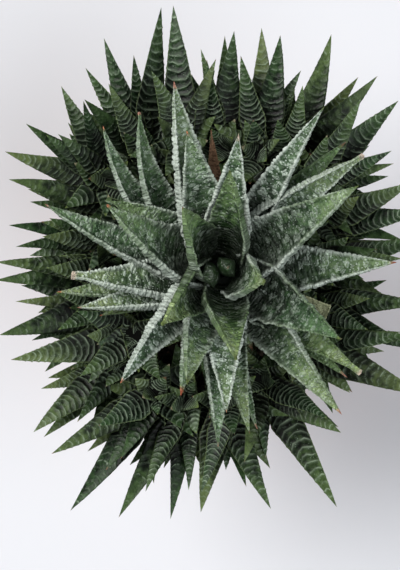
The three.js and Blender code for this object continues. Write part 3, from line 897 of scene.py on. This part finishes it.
def leaf_paint_tree():
    """The colours, gloss and fine relief of a leaf's skin, for both kinds of rosette."""
    inputs = dict.fromkeys(LEAF_COLOURS, "Color") | dict.fromkeys(LEAF_AMOUNTS, "Float")
    outputs = {"Color": "Color", "Roughness": "Float", "Height": "Float"}
    tree, given = new_tree("Leaf paint", "ShaderNodeTree", inputs, outputs)
    dark_and_shaded_root_color, face_color, tip_color, line_color, rim_color, spot_color = (
        given[name] for name in LEAF_COLOURS
    )
    scale, share, blister, ripple, lines, rims, bands, variety = (
        given[name] for name in LEAF_AMOUNTS
    )
    skin = painted(tree, "skin") * (1 / MM)
    across, along, leaf_number = parts_of(skin)
    place, rim, band = parts_of(painted(tree, "place"))
    ridge = painted(tree, "ridge", "Fac")
    tone, bloom, dry = parts_of(painted(tree, "look"))
    tint = painted(tree, "tint", "Color")
    cloud = noise(skin, 0.09, 3) - 0.5
    grain = noise(skin, 1.3, 3) - 0.5
    mottle = noise(skin, 0.35, 4, 0.6) - 0.5

    # The body: dark at the root, partly the leaf's own green and partly painted shade, reaching furthest
    # up the inner leaves; paler and yellower near the tip, mottled all over
    inner = greater(1 - bloom * 1.4, 0.15)
    lit = place + cloud * 0.6 + mottle * 0.7 - inner * ripple * 0.16
    body = mix(dark_and_shaded_root_color, face_color, ramp(lit, 0.2, 0.68))
    warm = ramp(place + cloud * 0.7 + mottle * 0.9, 0.4, 1.0)
    body = mix(body, tip_color, warm * 0.85)
    body = body * (1 + tone * variety + grain + mottle * 1.4)
    body = body * vector_of(tree, 1 + tone * variety * 0.5, 1.0, 1 - inner * ripple * 0.18)

    # Ripples and fine folds across the leaf, which fade towards its tip
    curved = along + across * across * RIPPLE_CURVE
    wave = arithmetic("SINE", curved * RIPPLE_TURN + noise(skin, 0.2, 3) * 12, 0.0)
    calm = ramp(place + cloud * 0.8 + mottle * 0.6, 0.8, 0.3) * ripple * (1 - rim)
    body = mix(body, tip_color, ramp(wave, 0.3, 1.0) * calm * inner * (0.16 + mottle * 0.8))
    streak = noise(vector_of(tree, across * 0.25, along * 1.1, leaf_number), 1.0, 2, 0.6)
    fold = ramp(streak, 0.5, 0.62) * calm
    body = mix(body, mix(tip_color, spot_color, bloom), fold * (0.1 + mottle * 0.5))

    # Blisters of many sizes, each with a painted highlight round its edge over pale wax, and painted
    # shade round its foot
    swirl = noise(skin, 0.5, 2) - 0.5
    stretched = vector_of(tree, across * 0.78 + swirl * 2, along * 1.3 + swirl * 2, leaf_number)
    chance, size, _ = parts_of(cells(stretched, scale, "Color"))
    spread = cells(stretched, scale) / (0.3 + size * 0.42) + grain * 0.8
    rare = 1 - share
    where = ramp(chance + mottle * 1.4 + bloom * 0.3, rare, rare + 0.15)
    where = where * (1 - rim) * ramp(place, 0.12, 0.5)
    dome = ramp(spread, 1.0, 0.4) * where
    blister_foot_shade = ramp(spread, 0.9, 1.1) * where * blister
    body = body * (1 - blister_foot_shade * (0.14 + bloom * 0.24))
    blister_edge_highlight = dome * (1 - dome) * 4
    pale = (dome * 0.06 + blister_edge_highlight * 0.52) * blister * (1 + grain * 2.5) * (0.35 + bloom * 0.8)

    # Small white flecks
    chance, _, _ = parts_of(cells(skin, scale * 2.3, "Color"))
    fleck = ramp(cells(skin, scale * 2.3), 0.4, 0.2) * (1 - rim)
    fleck = fleck * ramp(chance + cloud * 0.6, rare + 0.1, rare + 0.2)
    pale = pale + fleck * (0.1 + bloom * 0.5)
    # The painted highlights on the blisters and the white flecks are laid on together
    body = mix(body, mix(tip_color, spot_color, 0.65 + bloom * 0.35), pale)

    # Pebbled skin near the margins and the tip, with a painted highlight on each pebble and painted
    # shade in the gaps between them
    pebble = ramp(cells(skin, scale * 1.7), 0.6, 0.2)
    zone = ramp(place * 0.6 + rim * 0.9 + mottle * 0.8, 0.3, 0.75) * blister
    body = body * (1 + (pebble - 0.5) * zone * 0.8)

    # Painted shade and light: the faces of rippled leaves are darkened towards the root, most of all
    # where there is little bloom, and lightened towards the tip
    root_shade_and_tip_light = ramp(place + cloud * 0.5 + mottle * 0.4, 0.05, 0.65, 0.36 - inner * 0.1, 1.3)
    body = body * (1 + (root_shade_and_tip_light - 1) * ripple)

    # Pale lines on the ridges, broken into dashes on leaves with little bloom
    dashes = noise(vector_of(tree, across * 0.9, along * 0.3, leaf_number * 3.1), 1.0, 2)
    dashes = 1 + (ramp(dashes, 0.36, 0.52) - 1) * ramp(bloom + cloud, 0.75, 0.45)
    line = ridge ** 2.0 * lines * (1 - rim) * (0.85 + cloud) * dashes
    body = mix(body, line_color, line)

    # Silver wax: a faint border, the edge of the margin and the side band. On the edge and the band the
    # wax is painted brighter on the knobs and darker in the creases between them, as painted highlight
    # and shade over real wax
    waxy = ramp(bloom - place * 0.55 + mottle * 0.8 + cloud * 0.6, -0.15, 0.45)
    silver = mix(tip_color, rim_color, waxy)
    silver = silver * (0.6 + bloom * 0.4 + grain * 0.6 + mottle * 0.5)
    border = ramp(rim + mottle * 0.6 + grain * 0.3, 0.15, 0.75) * ramp(place, 0.0, 0.3)
    body = mix(body, silver * 0.8, border * rims * (0.15 + bloom * 0.4))
    edge = ramp(rim, 0.8 - bloom * 0.3, 1.0) * rims * ramp(place + bloom * 0.25, 0.02, 0.3)
    body = mix(body, silver, edge * (0.45 + 0.5 * ridge + grain * 0.9 + cloud * 1.2))
    side = 0.4 + 0.6 * ridge + grain * 0.8 + mottle * 0.8 + cloud * 1.1
    side = side * band * (0.3 + bloom * 0.7) * bands * ramp(place, 0.9, 0.5, 0.6, 1.1)
    body = mix(body, silver, side)

    # The dry tip
    dead = ramp(place + grain * 0.04, 1 - dry * 1.2, 1.01 - dry * 0.5)
    color = mix(body, tint * (1 + grain * 0.8 + mottle * 0.5), dead)
    roughness = 0.32 + grain * 0.3 + dead * 0.3 + rim * 0.15
    height = wave * calm * inner * 0.22 + fold * 0.35 + dome * blister + pebble * zone * 0.8
    height = height + fleck * 0.5 + grain * 0.6 + mottle * 0.8
    end_tree(tree, Color=color, Roughness=roughness, Height=height)
    return tree


def leaf_material(name, values, relief, gloss):
    material, tree = new_material(name)
    paint = tree.nodes.new("ShaderNodeGroup")
    paint.node_tree = LEAF_PAINT
    for socket, value in values.items():
        paint.inputs[socket].default_value = (*linear(*value), 1) if type(value) is tuple else value
    color, roughness, height = (Field(tree, socket) for socket in paint.outputs)
    surface(tree, color, roughness, height, relief, gloss)
    return material


def object_place(tree):
    return field_of(tree, "ShaderNodeTexCoord", {}, "Object") * (1 / MM)


def terracotta():
    """Fired clay with a lime bloom and a darker, damp foot."""
    material, tree = new_material("Terracotta")
    place = object_place(tree)
    _, _, height = parts_of(place)
    cloud = noise(place, 0.06, 4) - 0.5
    grain = noise(place, 1.8, 3) - 0.5
    clay = mix((*linear(176, 98, 62), 1), (*linear(198, 122, 84), 1), 0.5 + cloud * 2)
    damp = ramp(height + cloud * 30, 22, 2)
    clay = mix(clay, (*linear(128, 70, 46), 1), damp * 0.5)
    lime = ramp(noise(place, 0.1, 5, 0.65), 0.56, 0.75)
    clay = mix(clay, (*linear(216, 190, 168), 1), lime * 0.6)
    clay = clay * (1 + grain * 0.25)
    surface(tree, clay, 0.85 + grain * 0.1, cloud + grain, relief=0.2 * MM)
    return material


def grit(name, dark, light):
    """Dry soil or stone, of two colours that change from grain to grain."""
    material, tree = new_material(name)
    place = object_place(tree)
    chance, _, _ = parts_of(cells(place, 0.5, "Color"))
    grain = noise(place, 2.2, 4) - 0.5
    color = mix((*linear(*dark), 1), (*linear(*light), 1), chance) * (1 + grain)
    surface(tree, color, 0.92 + grain * 0.1, grain, relief=0.4 * MM)
    return material


# The pot and the soil

def turned(name, profile, sides, material):
    """A mesh turned round the +Z axis from a profile of radius and height, closed at the axis."""
    points = []
    faces = []
    rings = []
    for radius, height in profile:
        if radius == 0:
            rings.append([len(points)] * sides)
            points.append((0, 0, height * MM))
        else:
            rings.append(list(range(len(points), len(points) + sides)))
            for side in range(sides):
                points.append(polar(360 * side / sides, radius, height) * MM)
    for lower, upper in zip(rings, rings[1:]):
        for side in range(sides):
            after = (side + 1) % sides
            corners = (lower[side], lower[after], upper[after], upper[side])
            faces.append(tuple(dict.fromkeys(corners)))
    mesh = bpy.data.meshes.new(name)
    mesh.from_pydata(points, [], faces)
    mesh.materials.append(material)
    mesh.shade_smooth()
    return add_object(name, mesh)


def arc_points(x, y, radius, first, last, steps=4):
    """A rounded edge in a profile, from one angle to another."""
    arc = (polar(first + (last - first) * step / steps, radius) for step in range(steps + 1))
    return [(x + place.x, y + place.y) for place in arc]


def wall_inside(height):
    """The radius of the pot's inner wall at a height."""
    return POT_FOOT_RADIUS + WALL_SLOPE * height - POT_WALL


def make_pot():
    foot, edge, lip, inner = POT_FOOT_RADIUS, POT_EDGE, POT_LIP_EDGE, POT_INNER_EDGE
    wall_heights = range(POT_WALL_STEP, RIM_BASE, POT_WALL_STEP)
    profile = [
        (0, 0),
        *arc_points(foot - edge, edge, edge, -90, 0),
        *((foot + WALL_SLOPE * height, height) for height in wall_heights),
        (POT_RIM_RADIUS - POT_RIM_STEP, RIM_BASE),
        *arc_points(POT_RIM_RADIUS - edge, RIM_BASE + edge, edge, -80, 0),
        *arc_points(POT_RIM_RADIUS - lip, POT_HEIGHT - lip, lip, 0, 90, 5),
        *arc_points(POT_RIM_RADIUS - POT_WALL + inner, POT_HEIGHT - inner, inner, 90, 180),
        (wall_inside(RIM_BASE), RIM_BASE),
        (wall_inside(POT_FLOOR), POT_FLOOR),
        (0, POT_FLOOR),
    ]
    pot = turned("terracotta_pot", profile, POT_SIDES, terracotta())
    for number in range(DRAIN_HOLES):
        centre = polar(360 * (number + 0.5) / DRAIN_HOLES, DRAIN_CIRCLE_RADIUS)
        drill = turned("drill", [
            (0, -POT_FLOOR), (DRAIN_HOLE_RADIUS, -POT_FLOOR), (DRAIN_HOLE_RADIUS, 2 * POT_FLOOR),
            (0, 2 * POT_FLOOR),
        ], DRAIN_SIDES, pot.data.materials[0])
        drill.data.transform(Matrix.Translation(centre * MM))
        cut = pot.modifiers.new("hole", "BOOLEAN")
        cut.object = drill
        cut.operation = "DIFFERENCE"
        cut.solver = "EXACT"
        applied(pot)
        bpy.data.objects.remove(drill)
    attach(pot, "root")
    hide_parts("pot")


def soil_tree():
    """Roughens the top of the soil and scatters small stones over it."""
    tree, given = new_tree("Gritty soil", "GeometryNodeTree", {
        "Soil": "Geometry", "Stone material": "Material",
    }, {"Ground": "Geometry"})
    smallest, largest = (radius * MM for radius in STONE_RADII)
    position = field_of(tree, "GeometryNodeInputPosition")
    _, _, height = parts_of(position)
    top = ramp(height, (SOIL_TOP - SOIL_SKIN) * MM, SOIL_TOP * MM)
    lumps = (noise(position, 260, 4) - 0.5) * (SOIL_LUMPS * MM) * top
    ground = moved(given["Soil"], Offset=vector_of(tree, 0, 0, lumps))
    spots = field_of(tree, "GeometryNodeDistributePointsOnFaces", {
        "Mesh": ground, "Selection": top, "Density": STONE_DENSITY, "Seed": STONE_SEED,
    })
    stone = field_of(tree, "GeometryNodeMeshIcoSphere", {"Radius": 1.0, "Subdivisions": 2})
    size = field_of(tree, "FunctionNodeRandomValue", {
        "Min": smallest, "Max": largest, "Seed": STONE_SEED,
    }, "Value", data_type="FLOAT")
    spin = field_of(tree, "FunctionNodeRandomValue", {
        "Min": (0, 0, 0), "Max": (6, 6, 6), "Seed": STONE_SEED + 1,
    }, "Value", data_type="FLOAT_VECTOR")
    stones = scattered(spots, stone, {"Rotation": spin, "Scale": size})
    dents = field_of(tree, "ShaderNodeTexNoise", {"Vector": position, "Scale": 420.0}, "Color")
    shift = (dents - (0.5, 0.5, 0.5)) * (largest * STONE_DENT)
    stones = moved(stones, Offset=shift)
    stones = field_of(tree, "GeometryNodeSetMaterial", {
        "Geometry": stones, "Material": given["Stone material"],
    })
    end_tree(tree, Ground=joined(ground, stones))
    return tree


def make_soil():
    radius = wall_inside(RIM_BASE) - SOIL_GAP
    spans = [1 - ring / SOIL_RINGS for ring in range(SOIL_RINGS + 1)]
    profile = [
        (0, SOIL_BOTTOM),
        (wall_inside(SOIL_BOTTOM) - SOIL_GAP, SOIL_BOTTOM),
        (radius, RIM_BASE),
        *((radius * span, SOIL_TOP + SOIL_CROWN * (1 - span ** 2)) for span in spans),
    ]
    damp_soil = grit("Damp soil", (42, 32, 25), (84, 66, 50))
    soil = turned("gritty_soil", profile, SOIL_SIDES, damp_soil)
    stone = grit("Pumice", (92, 80, 68), (156, 144, 126))
    finish_with(soil, soil_tree(), {"Stone material": stone})
    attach(soil, "root")
    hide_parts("soil")


# The rosettes

def grow_mother(name, leaves, route, radii, material, form=MOTHER_LEAF):
    """Grows one piece of the mother, with its stretch of the stem."""
    stem = stem_path(f"{name}_stem", route, radii)
    grow(name, leaves, stem, form, material, "mother_rosette")


def make_mother():
    """Grows the mother's leaves and buds, and gives the material of the leaves."""
    # The root colour is partly painted shade, and the spot colour is also that of the painted highlights
    # round the blisters
    looks = {
        "Base": (14, 31, 12), "Body": (46, 78, 46), "Young": (118, 142, 100),
        "Line": (130, 146, 128), "Rim": (196, 206, 196), "Spot": (214, 227, 215),
        "Spot scale": 0.5, "Spot share": 0.78, "Blister": 1.0, "Ripple": 1.0,
        "Line strength": 0.3, "Rim strength": 1.0, "Band strength": 1.0, "Variety": 0.9,
    }
    material = leaf_material("Mother leaf", looks, relief=0.75 * MM, gloss=0.18)
    dark_looks = {**looks, "Body": (14, 26, 13), "Young": (44, 64, 36), "Ripple": 0.0}
    bud_material = leaf_material("Bud", dark_looks, relief=0.4 * MM, gloss=0.5)
    path = [MOTHER + UP * height for height, _ in MOTHER_STEM]
    radii = [radius for _, radius in MOTHER_STEM]
    old = [
        *clasping_leaves(path[1:3], *MOTHER_STEM_LEAVES),
        *clasping_leaves([path[1], MOTHER + UP * SKIRT_TOP], *SKIRT_LEAVES),
    ]
    leaves = [mother_leaf(row) for row in MOTHER_LEAVES]
    lower, upper = old + leaves[:MOTHER_SPLIT], leaves[MOTHER_SPLIT:]
    grow_mother("mother_lower_leaves", lower, path[:3], radii[:3], material)
    grow_mother("mother_upper_leaves", upper, path[2:], radii[2:], material)
    buds = [
        leaf(MOTHER + polar(turn, start, BUD_FOOT), MOTHER + polar(turn, reach, BUD_TOP), width,
             shape=MOTHERS, bloom=0, dry=0)
        for turn, start, reach, width in MOTHER_BUDS
    ]
    thin = [radius * BUD_STEM_SHARE for radius in radii[2:]]
    grow_mother("mother_buds", buds, path[2:], thin, bud_material, BUD_LEAF)
    return material


def make_old_leaves(material):
    """More of the mother's old leaves, which close the hollow between it and its offsets."""
    path = [MOTHER + UP * (SKIRT_TOP - OLD_LEAVES_DEPTH), MOTHER + UP * SKIRT_TOP]
    leaves = list(clasping_leaves(path, *OLD_LEAVES))
    grow_mother("mother_old_leaves", leaves, path, [MOTHER_RADIUS] * 2, material)


def make_offsets():
    # The near-black root colour is partly painted shade
    material = leaf_material("Offset leaf", {
        "Base": (3, 4, 2), "Body": (24, 37, 22), "Young": (72, 92, 54),
        "Line": (142, 159, 136), "Rim": (132, 152, 104), "Spot": (134, 154, 132),
        "Spot scale": 0.8, "Spot share": 0.25, "Blister": 0.2, "Ripple": 0.15,
        "Line strength": 0.8, "Rim strength": 0.5, "Band strength": 0.0, "Variety": 1.0,
    }, relief=0.2 * MM, gloss=0.14)
    for number, (place, *rows) in enumerate(OFFSETS, start=1):
        node = f"offset_{number:02d}"
        heart = Vector(place)
        points = node_points(node)
        large = [offset_leaf(heart, row, points) for row in (*rows, *ring_rows(heart))]
        route = stem_route(heart)
        leaves = [
            *filter(None, large), *low_leaves(heart), *young_leaves(heart),
            *clasping_leaves(route[1:-1], *OFFSET_STEM_LEAVES),
        ]
        stem = stem_path(f"{node}_stem", route, [STEM_RADIUS] * len(route))
        grow(f"{node}_leaves", leaves, stem, OFFSET_LEAF, material, node)


# The floor, the light and the camera

def make_floor():
    bpy.ops.mesh.primitive_plane_add(size=FLOOR_SIZE)
    floor = bpy.context.object
    floor.name = "floor"
    material, tree = new_material("Pale floor")
    shader = add_node(tree, "ShaderNodeBsdfPrincipled", {
        "Base Color": (*linear(220, 221, 226), 1), "Roughness": 0.9,
    })
    end_material(tree, shader)
    floor.data.materials.append(material)


def add_light(name, place, size, power, color):
    """A soft square light that faces the plant."""
    data = bpy.data.lights.new(name, "AREA")
    data.size = size
    data.energy = power
    data.color = color
    light = add_object(name, data)
    light.location = place
    light.rotation_euler = (AIM - light.location).to_track_quat("-Z", "Y").to_euler()


def make_lights():
    """A sky that is bright near the ground and dim overhead, and two soft lamps."""
    world = bpy.data.worlds.new("Studio")
    world.use_nodes = True
    tree = world.node_tree
    background = tree.nodes["Background"]
    background.inputs["Color"].default_value = (0.94, 0.97, 1, 1)
    _, _, height = parts_of(field_of(tree, "ShaderNodeTexCoord", {}, "Generated"))
    strength = ramp(height, 0.0, SKY_DIM_FROM, SKY_LOW, SKY_HIGH)
    tree.links.new(strength.socket, background.inputs["Strength"])
    bpy.context.scene.world = world
    bpy.context.scene.view_settings.view_transform = "Standard"
    add_light("window", Vector((-2.0, 1.0, 2.4)), size=2.2, power=120, color=(1, 0.99, 0.97))
    add_light("fill", Vector((1.8, -1.1, 2.2)), size=3.2, power=76, color=(0.95, 0.98, 1))


def make_camera():
    data = bpy.data.cameras.new("camera")
    data.sensor_width = SENSOR
    data.lens = SENSOR * FOCAL_PIXELS / LONG_SIDE_PIXELS
    camera = add_object("camera", data)
    camera.location = EYE * MM
    bpy.context.scene.camera = camera


LEAF_SHAPES = leaf_shapes()
ROSETTE = rosette_tree()
LEAF_PAINT = leaf_paint_tree()
make_camera()
mother_material = make_mother()
make_offsets()
make_old_leaves(mother_material)
make_soil()
make_pot()
make_lights()
make_floor()
